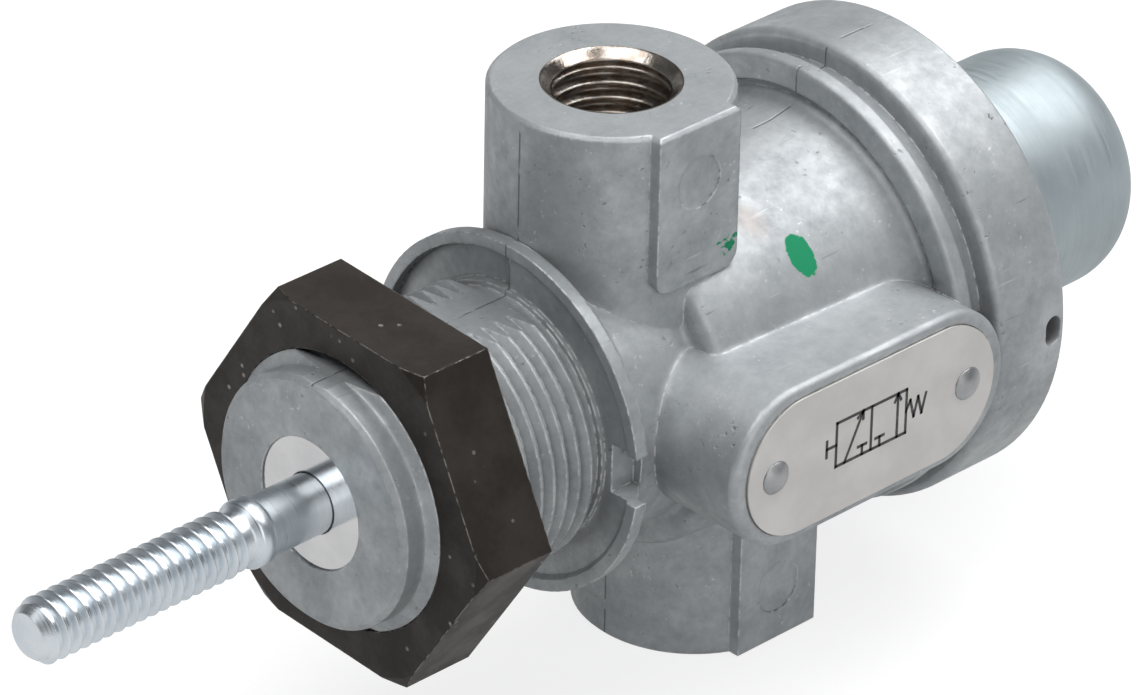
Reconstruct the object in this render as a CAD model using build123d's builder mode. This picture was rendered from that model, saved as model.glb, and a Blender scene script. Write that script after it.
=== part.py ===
# Air bleed valve: a push-rod spool valve in a die-cast body, for mounting through a panel.
# Frame: the plunger axis is X with the rod's tip towards -X. Z is up, through the top port.
# The origin is on the plunger axis, in the plane of the collar's front face, which seats on the panel.

import os
from math import cos, radians, sin, sqrt, tan

from build123d import *

os.makedirs("parts", exist_ok=True)

# Threaded neck and collar
neck_crest_r = 13.0
neck_pitch = 1.5
neck_depth = 0.92
neck_crest_count = 13
neck_length = 23.0
pilot_r = 11.9
neck_chamfer = 0.5
relief_length = 0.95
neck_flat_z = 11.8
collar_r = 16.85
collar_t = 1.3
collar_back_r = 15.9
lip_w = 1.1
dish_root_r = 12.4
dish_depth = 0.45
pocket_depth = 1.1
notch_w = 4.8
notch_floor_r = 13.2

# Lock nut
nut_flats = 32.0
nut_t = 8.0
nut_gap = 11.8
nut_turn = 3.3
nut_chamfer_run = 0.65
nut_clearance = 0.06

# Outside of the casting
front_r = 14.1
front_foot_round = 1.2
step_x = 11.1
step_round = 1.3
step_foot_round = 0.6
barrel_r = 16.8
barrel_rear_r = 17.5
flare_x = 32.6
flare_r = 18.1
crease_w = 1.1
crease_depth = 0.6
flange_front_x = 35.8
lip_front_r = 21.6
lip_round = 0.5
lip_length = 1.9
rim_groove_w = 1.8
rim_groove_r = 20.5
flange_r = 22.7
rim_round = 0.8
rear_chamfer = 0.5
port_boss_r = 11.0
port_boss_h = 28.7
port_boss_edge = 0.35
top_port_x = 12.45
bottom_port_x = 24.2
pad_w = 9.8
pad_out = 0.08
pad_foot_z = 13.2
pad_corner = 1.6
ejector_r = 2.55
ejector_depth = 0.12
ejector_z = 23.0
boss_centre_x = 21.9
boss_length = 34.2
boss_h = 15.4
boss_face_y = 23.8
boss_edge = 0.8

# Port threads and drillings
port_r = 6.0
port_pitch = 1.5
port_depth = 0.81
port_crest_count = 8
port_mouth_r = 6.2
port_mouth_t = 0.9
port_drill_r = 3.4

# Bores along the plunger axis
neck_bore_r = 6.225
guide_rear_x = -9.0
spool_bore_r = 6.0
stack_bore_r = 7.5
casting_wall = 1.0
stack_front_x = 4.6
stack_rear_x = 33.6
middle_bore_r = 12.6
rear_bore_r = 19.0
rear_bore_x = 40.4
snap_groove_w = 1.6
snap_groove_depth = 1.2
snap_land = 1.0
release_hole_h = 2.9
release_hole_w = 1.9

# Clearances
static_gap = 0.02
run_gap = 0.05
stop_gap = 0.1
axial_gap = 0.05

# Push rod
rod_out = 54.75
rod_r = 2.98
rod_pitch = 1.25
rod_depth = 0.58
rod_crest_count = 17
rod_dog_r = 2.05
rod_dog_run = 0.9
undercut_r = 2.5
undercut_length = 1.6
bead_r = 3.15
bead_length = 1.4
bead_edge = 0.3
shank_r = 2.8
stud_r = 2.2
stud_length = 9.0

# Rod guide in the neck
washer_t = 1.0
washer_sink = 0.2
wiper_length = 3.0
wiper_groove = 0.9

# Spool
spool_r = 4.5
stop_r = 5.7
stop_length = 2.0
waist_r = 3.2
waist_slope = 0.8
waist_margin = 0.45
spool_tail_r = 2.5
tail_length = 4.2
cross_pin_r = 0.8
cross_pin_set = 4.8

# Stack of seal rings and cages in the main bore
ring_space = 3.0
cage_length = 4.5
cage_bore_gap = 0.3
cage_hole_r = 1.1
cage_holes = 6
cage_groove_w = 2.9
cage_groove_depth = 1.0
end_bush_t = 2.0
stack_clip_t = 1.2
stack_clip_grip = 0.8
stack_clip_w = 1.8
clip_gap_angle = 50.0

# Spring, its seat and the cup
seat_r = 9.6
seat_t = 1.2
seat_rim_h = 1.2
seat_rim_w = 0.9
seat_clip_t = 0.8
seat_clip_r = 4.2
seat_clip_grip = 0.6
spring_wire_r = 0.8
spring_coil_r = 7.6
spring_turns = 8
cup_r = 11.6
cup_wall = 0.8
cup_end_x = 73.2
cup_corner = 6.4
cup_flange_t = 1.0
vent_holes = 6
vent_hole_r = 1.1
vent_circle_r = 14.6
gasket_t = 1.8
gasket_bore_r = 16.4
cover_ring_t = 2.6
cover_ring_bore_r = 16.9
flap_t = 0.8
flap_gap = 0.15
snap_ring_t = 1.4
snap_ring_w = 2.0
snap_lug_r = 1.9
snap_eye_r = 0.8

# Nameplate and its rivets
plate_length = 31.0
plate_h = 13.4
plate_t = 0.5
plate_sink = 0.3
plate_gap = 0.1
rivet_span = 24.2
rivet_head_r = 1.6
rivet_head_h = 0.7
rivet_shank_r = 0.9
rivet_length = 4.0

# Places and fits worked out from the sizes above
first_crest_x = -relief_length - (neck_crest_count - 1) * neck_pitch - neck_pitch / 2
collar_rear_x = collar_t + collar_back_r - front_r
lip_rear_x = flange_front_x + lip_length
rim_front_x = lip_rear_x + rim_groove_w
nut_front_x = -nut_gap - nut_t
washer_x = -neck_length + washer_sink
wiper_x = washer_x + washer_t
guide_x = wiper_x + wiper_length
neck_fill_r = neck_bore_r - static_gap
rod_hole_r = shank_r + run_gap
spool_x = guide_rear_x + stop_gap
front_ring_x = top_port_x - cage_length / 2 - ring_space
top_cage_x = front_ring_x + ring_space
middle_ring_x = top_cage_x + cage_length
middle_spacer_x = middle_ring_x + ring_space
bottom_cage_x = bottom_port_x - cage_length / 2
rear_ring_x = bottom_cage_x + cage_length
end_bush_x = rear_ring_x + ring_space
stack_clip_x = end_bush_x + end_bush_t
stack_fill_r = stack_bore_r - static_gap
spool_hole_r = spool_r + run_gap
cage_inner_r = spool_r + cage_bore_gap
spool_rear_x = stack_rear_x
cup_flange_x = rear_bore_x + gasket_t
cover_ring_x = cup_flange_x + cup_flange_t
snap_groove_x = cover_ring_x + cover_ring_t
rear_x = snap_groove_x + snap_groove_w + snap_land
snap_groove_r = rear_bore_r + snap_groove_depth
rear_fill_r = rear_bore_r - static_gap
plate_back_y = -boss_face_y + plate_sink
plate_front_y = plate_back_y - plate_t
rivet_xs = (boss_centre_x - rivet_span / 2, boss_centre_x + rivet_span / 2)


def ring_thread(first_x, count, pitch, crest_r, depth, crest_share=0.2):
    """Points along a row of ridges that stand for a thread, from the first foot to the last."""
    points = []
    flat = pitch * crest_share / 2
    for i in range(count):
        centre = first_x + i * pitch
        points += [(centre - pitch / 2 + flat, crest_r - depth), (centre - flat, crest_r)]
        points += [(centre + flat, crest_r), (centre + pitch / 2 - flat, crest_r - depth)]
    return points


def outline(*points, rounds=()):
    """A closed flat face through (x, radius) points, for turning about the plunger axis.

    Each of rounds is the (x, radius) of a corner and the radius that it is rounded to.
    """
    with BuildSketch(Plane.XY) as face:
        with BuildLine():
            Polyline(*points, close=True)
        make_face()
        for x, r, round_r in rounds:
            fillet(vertices().sort_by_distance((x, r, 0))[0], round_r)
    return face.sketch


def sleeve(front_x, rear_x, inner_r, outer_r):
    """The face of a plain ring between two places on the plunger axis."""
    return outline((front_x, inner_r), (front_x, outer_r), (rear_x, outer_r), (rear_x, inner_r))


def open_ring_face(inner_r, outer_r, gap_angle):
    """The face of a retaining ring, seen along the plunger axis, with its gap towards -Z."""
    half = radians(gap_angle / 2)
    reach = 2 * outer_r
    with BuildSketch() as face:
        Circle(outer_r)
        Circle(inner_r, mode=Mode.SUBTRACT)
        with BuildLine():
            Polyline((0, 0), (-reach * sin(half), -reach * cos(half)),
                     (reach * sin(half), -reach * cos(half)), close=True)
        make_face(mode=Mode.SUBTRACT)
    return face.sketch


def spokes(middle_x, count):
    """Planes on the plunger axis that face outwards in count directions."""
    turns = [radians(90 + 360 * i / count) for i in range(count)]
    return [Plane(origin=(middle_x, 0, 0), x_dir=(1, 0, 0), z_dir=(0, cos(a), sin(a))) for a in turns]


# Body: the zinc casting with neck, collar, two port bosses, plate boss and rear flange
with BuildPart() as body:
    revolve(outline(
        (-neck_length, 0),
        (-neck_length, pilot_r - neck_chamfer),
        (-neck_length + neck_chamfer, pilot_r),
        (first_crest_x - neck_pitch / 2, pilot_r),
        *ring_thread(first_crest_x, neck_crest_count, neck_pitch, neck_crest_r, neck_depth),
        (-relief_length, pilot_r),
        (0, pilot_r),
        (0, collar_r),
        (collar_t, collar_r),
        (collar_t, collar_back_r),
        (collar_rear_x, front_r),
        (step_x, front_r),
        (step_x, barrel_r),
        (flare_x, barrel_rear_r),
        (flange_front_x, flare_r),
        (flange_front_x + crease_depth, flare_r + crease_depth / 2),
        (flange_front_x + crease_depth, flare_r + crease_w - crease_depth / 2),
        (flange_front_x, flare_r + crease_w),
        (flange_front_x, lip_front_r),
        (lip_rear_x, lip_front_r),
        (lip_rear_x, rim_groove_r),
        (rim_front_x, rim_groove_r),
        (rim_front_x, flange_r),
        (rear_x - rear_chamfer, flange_r),
        (rear_x, flange_r - rear_chamfer),
        (rear_x, 0),
        rounds=(
            (collar_rear_x, front_r, front_foot_round),
            (step_x, front_r, step_foot_round),
            (step_x, barrel_r, step_round),
            (flange_front_x, lip_front_r, lip_round),
            (lip_rear_x, lip_front_r, lip_round),
            (rim_front_x, flange_r, rim_round),
        ),
    ), axis=Axis.X)
    # Flats that the die's parting line leaves along the neck
    with BuildSketch(Plane.XY.offset(neck_flat_z), Plane.XY.offset(-neck_flat_z - neck_crest_r)):
        with Locations((-neck_length / 2, 0)):
            Rectangle(neck_length, 2 * neck_crest_r)
    extrude(amount=neck_crest_r, mode=Mode.SUBTRACT)
    # Port bosses, one up and one down
    with BuildSketch(Plane.XY):
        with Locations((top_port_x, 0)):
            Circle(port_boss_r)
    extrude(amount=port_boss_h)
    with BuildSketch(Plane.XY):
        with Locations((bottom_port_x, 0)):
            Circle(port_boss_r)
    extrude(amount=-port_boss_h)
    # Flat pads on the bosses
    with BuildSketch(Plane.XZ.offset(port_boss_r + pad_out)):
        with Locations((top_port_x, (port_boss_h + pad_foot_z) / 2)):
            Rectangle(pad_w, port_boss_h - pad_foot_z)
        fillet(vertices().group_by(Axis.Y)[0], pad_corner)
        with Locations((bottom_port_x, -port_boss_h / 2)):
            Rectangle(pad_w, port_boss_h)
    extrude(amount=-(port_boss_r + pad_out))
    boss_ends = faces().filter_by(Axis.Z).group_by(Axis.Z)
    chamfer((boss_ends[0] + boss_ends[-1]).edges(), port_boss_edge)
    # Boss that carries the nameplate
    with BuildSketch(Plane.XZ.offset(boss_face_y)):
        with Locations((boss_centre_x, 0)):
            SlotOverall(boss_length, boss_h)
    extrude(amount=-(boss_face_y - stack_bore_r - casting_wall))
    fillet(faces().filter_by(Axis.Y).sort_by(Axis.Y)[0].edges(), boss_edge)
    # Bores along the plunger axis
    revolve(outline(
        (-neck_length, 0),
        (-neck_length, neck_bore_r),
        (guide_rear_x, neck_bore_r),
        (guide_rear_x, spool_bore_r),
        (stack_front_x, spool_bore_r),
        (stack_front_x, stack_bore_r),
        (stack_clip_x, stack_bore_r),
        (stack_clip_x, stack_bore_r + stack_clip_grip),
        (stack_clip_x + stack_clip_t, stack_bore_r + stack_clip_grip),
        (stack_clip_x + stack_clip_t, stack_bore_r),
        (stack_rear_x, stack_bore_r),
        (stack_rear_x, middle_bore_r),
        (rear_bore_x, middle_bore_r),
        (rear_bore_x, rear_bore_r),
        (snap_groove_x, rear_bore_r),
        (snap_groove_x, snap_groove_r),
        (snap_groove_x + snap_groove_w, snap_groove_r),
        (snap_groove_x + snap_groove_w, rear_bore_r),
        (rear_x, rear_bore_r),
        (rear_x, 0),
    ), axis=Axis.X, mode=Mode.SUBTRACT)
    # Dished face of the collar inside its lip, with a deeper pocket on the far upper side
    revolve(outline(
        (0, dish_root_r),
        (dish_depth, dish_root_r),
        (dish_depth, collar_r - lip_w - dish_depth),
        (0, collar_r - lip_w),
    ), axis=Axis.X, mode=Mode.SUBTRACT)
    with BuildSketch(Plane.YZ):
        Circle(collar_r - lip_w)
        Circle(dish_root_r, mode=Mode.SUBTRACT)
        with Locations((-collar_r, 0), (0, -collar_r)):
            Rectangle(2 * collar_r, 2 * collar_r, mode=Mode.SUBTRACT)
    extrude(amount=pocket_depth, mode=Mode.SUBTRACT)
    # Locating notch through the collar on the nameplate side
    with BuildSketch(Plane.YZ):
        with Locations((-(collar_r + notch_floor_r) / 2, 0)):
            Rectangle(collar_r - notch_floor_r, notch_w)
    extrude(amount=collar_rear_x, mode=Mode.SUBTRACT)
    # Threaded ports, drilled through to the cages
    for port_x, up in ((top_port_x, 1), (bottom_port_x, -1)):
        ridges = [(port_x + r, up * (port_boss_h - depth)) for depth, r in ring_thread(
            port_mouth_t + port_pitch / 2, port_crest_count, port_pitch, port_r - port_depth, -port_depth)]
        thread_end_z = port_boss_h - port_mouth_t - port_crest_count * port_pitch
        with BuildSketch(Plane.XZ):
            with BuildLine():
                Polyline(
                    (port_x, up * port_boss_h),
                    (port_x + port_mouth_r, up * port_boss_h),
                    (port_x + port_r - port_depth, up * (port_boss_h - port_mouth_t)),
                    *ridges,
                    (port_x + port_drill_r, up * (thread_end_z - port_r + port_drill_r)),
                    (port_x + port_drill_r, 0),
                    (port_x, 0),
                    close=True,
                )
            make_face()
        revolve(axis=Axis((port_x, 0, 0), (0, 0, 1)), mode=Mode.SUBTRACT)
    # Shallow marks of the ejector pins on the pads
    with BuildSketch(Plane.XZ.offset(port_boss_r + pad_out)):
        with Locations((top_port_x, ejector_z), (bottom_port_x, -ejector_z)):
            Circle(ejector_r)
    extrude(amount=-ejector_depth, mode=Mode.SUBTRACT)
    # Recess and rivet holes for the nameplate
    with BuildSketch(Plane.XZ.offset(boss_face_y)):
        with Locations((boss_centre_x, 0)):
            SlotOverall(plate_length + 2 * plate_gap, plate_h + 2 * plate_gap)
    extrude(amount=-plate_sink, mode=Mode.SUBTRACT)
    with BuildSketch(Plane.XZ.offset(boss_face_y)):
        with Locations(*[(x, 0) for x in rivet_xs]):
            Circle(rivet_shank_r + static_gap)
    extrude(amount=-rivet_length, mode=Mode.SUBTRACT)
    # Slot through the rim, to push the snap ring out of its groove
    with BuildSketch(Plane.XZ.offset(flange_r)):
        with Locations((snap_groove_x + snap_groove_w / 2, 0)):
            SlotOverall(release_hole_h, release_hole_w, rotation=90)
    extrude(amount=-(flange_r - rear_bore_r + snap_groove_depth), mode=Mode.SUBTRACT)
body.part.label = "body"
export_step(body.part, "parts/body.step")

# Lock nut on the neck, black steel
with BuildPart() as lock_nut:
    nut_corner_r = nut_flats / 2 / cos(radians(30))
    with BuildSketch(Plane.YZ.offset(nut_front_x)):
        RegularPolygon(nut_corner_r, 6, rotation=nut_turn)
    extrude(amount=nut_t)
    revolve(outline(
        (nut_front_x, neck_crest_r + nut_clearance),
        (nut_front_x, nut_corner_r - nut_chamfer_run / tan(radians(30))),
        (nut_front_x + nut_chamfer_run, nut_corner_r),
        (nut_front_x + nut_t, nut_corner_r),
        (nut_front_x + nut_t, neck_crest_r + nut_clearance),
    ), axis=Axis.X, mode=Mode.INTERSECT)
lock_nut.part.label = "lock_nut"
export_step(lock_nut.part, "parts/lock_nut.step")

# Push rod: threaded for a knob at its tip, with a stud at its rear that the spool is pinned to
with BuildPart() as push_rod:
    thread_x = -rod_out + rod_dog_run
    undercut_x = thread_x + rod_crest_count * rod_pitch
    bead_x = undercut_x + undercut_length
    revolve(outline(
        (-rod_out, 0),
        (-rod_out, rod_dog_r),
        (thread_x, rod_r - rod_depth),
        *ring_thread(thread_x + rod_pitch / 2, rod_crest_count, rod_pitch, rod_r, rod_depth, 0.24),
        (undercut_x, undercut_r),
        (bead_x - bead_edge, undercut_r),
        (bead_x, bead_r),
        (bead_x + bead_length, bead_r),
        (bead_x + bead_length + bead_edge, shank_r),
        (spool_x, shank_r),
        (spool_x, stud_r),
        (spool_x + stud_length, stud_r),
        (spool_x + stud_length, 0),
    ), axis=Axis.X)
    with BuildSketch(Plane.XY):
        with Locations((spool_x + cross_pin_set, 0)):
            Circle(cross_pin_r + static_gap)
    extrude(amount=stud_r, both=True, mode=Mode.SUBTRACT)
push_rod.part.label = "push_rod"
export_step(push_rod.part, "parts/push_rod.step")

# Guide washer pressed into the neck's mouth, bright steel
with BuildPart() as guide_washer:
    revolve(sleeve(washer_x, wiper_x, rod_hole_r + run_gap, neck_fill_r), axis=Axis.X)
guide_washer.part.label = "guide_washer"
export_step(guide_washer.part, "parts/guide_washer.step")

# Rubber wiper that keeps dirt off the rod
with BuildPart() as rod_wiper:
    wiper_middle_r = (rod_hole_r + neck_fill_r) / 2
    revolve(outline(
        (wiper_x, rod_hole_r),
        (wiper_x, wiper_middle_r - wiper_groove / 2),
        (wiper_x + wiper_length / 2, wiper_middle_r),
        (wiper_x, wiper_middle_r + wiper_groove / 2),
        (wiper_x, neck_fill_r),
        (guide_x, neck_fill_r),
        (guide_x, rod_hole_r),
    ), axis=Axis.X)
rod_wiper.part.label = "rod_wiper"
export_step(rod_wiper.part, "parts/rod_wiper.step")

# Bronze bush that guides the rod and stops the spool
with BuildPart() as guide_bush:
    revolve(sleeve(guide_x, guide_rear_x, rod_hole_r, neck_fill_r), axis=Axis.X)
guide_bush.part.label = "guide_bush"
export_step(guide_bush.part, "parts/guide_bush.step")

# Spool: at rest its waist joins the two ports, and pushed in it opens the lower port to the rear
with BuildPart() as spool:
    waist_x = top_port_x + waist_margin
    waist_end_x = rear_ring_x - waist_margin
    seat_face_x = spool_rear_x + seat_t
    seat_clip_x = seat_face_x + axial_gap
    revolve(outline(
        (spool_x + stud_length + axial_gap, 0),
        (spool_x + stud_length + axial_gap, stud_r + static_gap),
        (spool_x, stud_r + static_gap),
        (spool_x, stop_r),
        (spool_x + stop_length, stop_r),
        (spool_x + stop_length, spool_r),
        (waist_x, spool_r),
        (waist_x + waist_slope, waist_r),
        (waist_end_x - waist_slope, waist_r),
        (waist_end_x, spool_r),
        (spool_rear_x, spool_r),
        (spool_rear_x, spool_tail_r),
        (seat_clip_x, spool_tail_r),
        (seat_clip_x, spool_tail_r - seat_clip_grip),
        (seat_clip_x + seat_clip_t + axial_gap, spool_tail_r - seat_clip_grip),
        (seat_clip_x + seat_clip_t + axial_gap, spool_tail_r),
        (spool_rear_x + tail_length, spool_tail_r),
        (spool_rear_x + tail_length, 0),
    ), axis=Axis.X)
    with BuildSketch(Plane.XY):
        with Locations((spool_x + cross_pin_set, 0)):
            Circle(cross_pin_r + static_gap)
    extrude(amount=spool_r, both=True, mode=Mode.SUBTRACT)
spool.part.label = "spool"
export_step(spool.part, "parts/spool.step")

# Cross pin that holds the spool on the rod
with BuildPart() as cross_pin:
    with BuildSketch(Plane.XY):
        with Locations((spool_x + cross_pin_set, 0)):
            Circle(cross_pin_r)
    extrude(amount=spool_r - 2 * axial_gap, both=True)
cross_pin.part.label = "cross_pin"
export_step(cross_pin.part, "parts/cross_pin.step")

# Seal rings between the cages, each a round rubber cord
cord_r = (stack_fill_r - spool_hole_r) / 2
for name, ring_x in (("front_seal_ring", front_ring_x), ("middle_seal_ring", middle_ring_x),
                     ("rear_seal_ring", rear_ring_x)):
    with BuildPart() as seal_ring:
        with BuildSketch(Plane.XY):
            with Locations((ring_x + ring_space / 2, spool_hole_r + cord_r)):
                Circle(cord_r)
        revolve(axis=Axis.X)
    seal_ring.part.label = name
    export_step(seal_ring.part, "parts/" + name + ".step")

# Cages that lead each port's air to the spool
for name, middle_x in (("top_port_cage", top_port_x), ("bottom_port_cage", bottom_port_x)):
    with BuildPart() as cage:
        cage_floor_r = stack_fill_r - cage_groove_depth
        revolve(outline(
            (middle_x - cage_length / 2, cage_inner_r),
            (middle_x - cage_length / 2, stack_fill_r),
            (middle_x - cage_groove_w / 2, stack_fill_r),
            (middle_x - cage_groove_w / 2, cage_floor_r),
            (middle_x + cage_groove_w / 2, cage_floor_r),
            (middle_x + cage_groove_w / 2, stack_fill_r),
            (middle_x + cage_length / 2, stack_fill_r),
            (middle_x + cage_length / 2, cage_inner_r),
        ), axis=Axis.X)
        with BuildSketch(*spokes(middle_x, cage_holes)):
            Circle(cage_hole_r)
        extrude(amount=stack_bore_r, mode=Mode.SUBTRACT)
    cage.part.label = name
    export_step(cage.part, "parts/" + name + ".step")

# Plain spacers that set the rings' places in the bore
for name, front, rear in (("front_spacer", stack_front_x, front_ring_x),
                          ("middle_spacer", middle_spacer_x, bottom_cage_x),
                          ("end_bush", end_bush_x, stack_clip_x)):
    with BuildPart() as spacer:
        revolve(sleeve(front, rear, cage_inner_r, stack_fill_r), axis=Axis.X)
    spacer.part.label = name
    export_step(spacer.part, "parts/" + name + ".step")

# Retaining clip behind the stack
with BuildPart() as stack_clip:
    grip_r = stack_bore_r + stack_clip_grip - static_gap
    with BuildSketch(Plane.YZ.offset(stack_clip_x)):
        add(open_ring_face(grip_r - stack_clip_w, grip_r, clip_gap_angle))
    extrude(amount=stack_clip_t - axial_gap)
stack_clip.part.label = "stack_clip"
export_step(stack_clip.part, "parts/stack_clip.step")

# Spring seat: a dished steel washer on the spool's tail
with BuildPart() as spring_seat:
    revolve(outline(
        (spool_rear_x, spool_tail_r + static_gap),
        (spool_rear_x, seat_r),
        (seat_face_x + seat_rim_h, seat_r),
        (seat_face_x + seat_rim_h, seat_r - seat_rim_w),
        (seat_face_x, seat_r - seat_rim_w),
        (seat_face_x, spool_tail_r + static_gap),
    ), axis=Axis.X)
spring_seat.part.label = "spring_seat"
export_step(spring_seat.part, "parts/spring_seat.step")

# Clip that keeps the spring seat on the tail
with BuildPart() as seat_clip:
    with BuildSketch(Plane.YZ.offset(seat_clip_x)):
        add(open_ring_face(spool_tail_r - seat_clip_grip + static_gap, seat_clip_r, clip_gap_angle))
    extrude(amount=seat_clip_t)
seat_clip.part.label = "seat_clip"
export_step(seat_clip.part, "parts/seat_clip.step")

# Return spring from the seat to the cup's end
with BuildPart() as return_spring:
    coil_start_x = seat_face_x + spring_wire_r + axial_gap
    corner_room = cup_corner - cup_wall - spring_wire_r - axial_gap
    corner_side = max(spring_coil_r - cup_r + cup_corner, 0)
    coil_end_x = cup_end_x - cup_corner + sqrt(corner_room ** 2 - corner_side ** 2)
    coil_length = coil_end_x - coil_start_x
    with BuildLine() as coil:
        Helix(coil_length / spring_turns, coil_length, spring_coil_r,
              center=(coil_start_x, 0, 0), direction=(1, 0, 0))
    with BuildSketch(Plane(origin=coil.line @ 0, z_dir=coil.line % 0)):
        Circle(spring_wire_r)
    sweep(is_frenet=True)
return_spring.part.label = "return_spring"
export_step(return_spring.part, "parts/return_spring.step")

# Gasket under the cup's flange
with BuildPart() as cup_gasket:
    revolve(sleeve(rear_bore_x, cup_flange_x, gasket_bore_r, rear_fill_r), axis=Axis.X)
cup_gasket.part.label = "cup_gasket"
export_step(cup_gasket.part, "parts/cup_gasket.step")

# Spring cup: deep-drawn plated steel with a flat flange and vent holes
with BuildPart() as spring_cup:
    corner_x = cup_end_x - cup_corner
    corner_r = cup_r - cup_corner
    with BuildSketch(Plane.XY):
        with BuildLine():
            Polyline((cup_end_x, corner_r), (cup_end_x, 0), (cup_end_x - cup_wall, 0),
                     (cup_end_x - cup_wall, corner_r))
            CenterArc((corner_x, corner_r), cup_corner - cup_wall, 0, 90)
            Polyline((corner_x, cup_r - cup_wall), (cup_flange_x, cup_r - cup_wall),
                     (cup_flange_x, rear_fill_r), (cover_ring_x, rear_fill_r), (cover_ring_x, cup_r),
                     (corner_x, cup_r))
            CenterArc((corner_x, corner_r), cup_corner, 0, 90)
        make_face()
    revolve(axis=Axis.X)
    with BuildSketch(Plane.YZ.offset(cup_flange_x)):
        with PolarLocations(vent_circle_r, vent_holes):
            Circle(vent_hole_r)
    extrude(amount=cup_flange_t, mode=Mode.SUBTRACT)
spring_cup.part.label = "spring_cup"
export_step(spring_cup.part, "parts/spring_cup.step")

# Rubber flap over the vent holes
with BuildPart() as vent_flap:
    revolve(sleeve(cover_ring_x, cover_ring_x + flap_t, cup_r + flap_gap, cover_ring_bore_r - flap_gap),
            axis=Axis.X)
vent_flap.part.label = "vent_flap"
export_step(vent_flap.part, "parts/vent_flap.step")

# Spacer ring between the cup's flange and the snap ring
with BuildPart() as cover_ring:
    revolve(sleeve(cover_ring_x, snap_groove_x, cover_ring_bore_r, rear_fill_r), axis=Axis.X)
cover_ring.part.label = "cover_ring"
export_step(cover_ring.part, "parts/cover_ring.step")

# Snap ring in the rim's groove, with two eyes for pliers
with BuildPart() as snap_ring:
    snap_outer_r = snap_groove_r - axial_gap
    snap_inner_r = snap_outer_r - snap_ring_w
    eye_circle_r = snap_inner_r - snap_lug_r / 2
    half_gap = radians(clip_gap_angle / 2)
    eyes = [(side * eye_circle_r * sin(half_gap), -eye_circle_r * cos(half_gap)) for side in (-1, 1)]
    with BuildSketch(Plane.YZ.offset(snap_groove_x + axial_gap)):
        add(open_ring_face(snap_inner_r, snap_outer_r, clip_gap_angle))
        with Locations(*eyes):
            Circle(snap_lug_r)
        with Locations(*eyes):
            Circle(snap_eye_r, mode=Mode.SUBTRACT)
    extrude(amount=snap_ring_t)
snap_ring.part.label = "snap_ring"
export_step(snap_ring.part, "parts/snap_ring.step")

# Nameplate, thin bare metal
with BuildPart() as nameplate:
    with BuildSketch(Plane.XZ.offset(-plate_back_y)):
        with Locations((boss_centre_x, 0)):
            SlotOverall(plate_length, plate_h)
        with Locations(*[(x, 0) for x in rivet_xs]):
            Circle(rivet_shank_r + static_gap, mode=Mode.SUBTRACT)
    extrude(amount=plate_t)
nameplate.part.label = "nameplate"
export_step(nameplate.part, "parts/nameplate.step")

# Drive rivets of the nameplate, with low domed heads
dome_r = (rivet_head_r ** 2 + rivet_head_h ** 2) / (2 * rivet_head_h)
for name, x in zip(("front_rivet", "rear_rivet"), rivet_xs):
    with BuildPart() as rivet:
        with BuildSketch(Plane.XY):
            with BuildLine():
                Polyline((x + rivet_head_r, plate_front_y), (x + rivet_shank_r, plate_front_y),
                         (x + rivet_shank_r, -boss_face_y + rivet_length - axial_gap),
                         (x, -boss_face_y + rivet_length - axial_gap), (x, plate_front_y - rivet_head_h))
                RadiusArc((x, plate_front_y - rivet_head_h), (x + rivet_head_r, plate_front_y), -dome_r)
            make_face()
        revolve(axis=Axis((x, 0, 0), (0, 1, 0)))
    rivet.part.label = name
    export_step(rivet.part, "parts/" + name + ".step")
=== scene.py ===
import math

import bmesh
import bpy
from mathutils import Matrix, Vector


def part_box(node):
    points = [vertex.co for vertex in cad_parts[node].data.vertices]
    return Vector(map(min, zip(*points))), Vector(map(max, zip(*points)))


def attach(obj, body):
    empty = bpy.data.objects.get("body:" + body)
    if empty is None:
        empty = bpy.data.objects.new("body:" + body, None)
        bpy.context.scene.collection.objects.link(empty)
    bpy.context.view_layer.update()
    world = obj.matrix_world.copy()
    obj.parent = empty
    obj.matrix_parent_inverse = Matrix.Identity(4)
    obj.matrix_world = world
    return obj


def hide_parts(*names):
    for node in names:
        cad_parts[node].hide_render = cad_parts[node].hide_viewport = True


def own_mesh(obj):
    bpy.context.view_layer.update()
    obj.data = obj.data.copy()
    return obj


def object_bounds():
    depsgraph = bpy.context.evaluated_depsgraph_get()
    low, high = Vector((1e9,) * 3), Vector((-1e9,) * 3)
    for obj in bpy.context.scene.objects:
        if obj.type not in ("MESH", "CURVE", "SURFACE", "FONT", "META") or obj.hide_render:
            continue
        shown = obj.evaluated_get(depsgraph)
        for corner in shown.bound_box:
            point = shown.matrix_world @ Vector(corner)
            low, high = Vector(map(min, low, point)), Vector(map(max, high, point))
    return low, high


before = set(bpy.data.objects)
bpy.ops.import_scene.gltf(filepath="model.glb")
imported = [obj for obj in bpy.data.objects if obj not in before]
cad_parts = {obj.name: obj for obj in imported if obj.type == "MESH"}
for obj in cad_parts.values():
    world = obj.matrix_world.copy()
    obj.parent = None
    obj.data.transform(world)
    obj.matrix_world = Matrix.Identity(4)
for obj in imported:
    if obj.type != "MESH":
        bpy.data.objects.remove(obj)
cad_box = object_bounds()

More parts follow.
